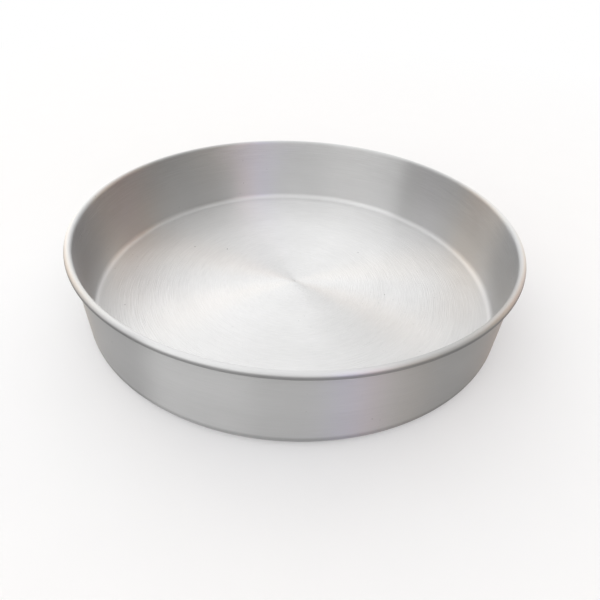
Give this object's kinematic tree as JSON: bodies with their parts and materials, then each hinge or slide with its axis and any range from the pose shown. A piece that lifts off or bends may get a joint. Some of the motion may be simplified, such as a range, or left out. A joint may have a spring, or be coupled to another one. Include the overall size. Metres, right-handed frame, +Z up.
{
  "type": "cake pan",
  "caption": "Shallow round baking pan of spun aluminium with a flat floor, a rounded corner, an upright wall and an outward rolled rim over a hidden wire hoop.",
  "frame": {"origin": "centre of the underside, on the surface that the pan stands on", "axes": "+Z up along the pan's axis of revolution, X and Y in the plane of the table"},
  "size_m": [0.262, 0.262, 0.05],
  "materials": {
    "spun_aluminium": "satin, with fine concentric turning lines",
    "rim_wire_steel": "drawn wire, hidden inside the rolled rim"
  },
  "bodies": {
    "root": {"pan_shell": "spun_aluminium", "rim_wire": "rim_wire_steel"}
  },
  "joints": []
}
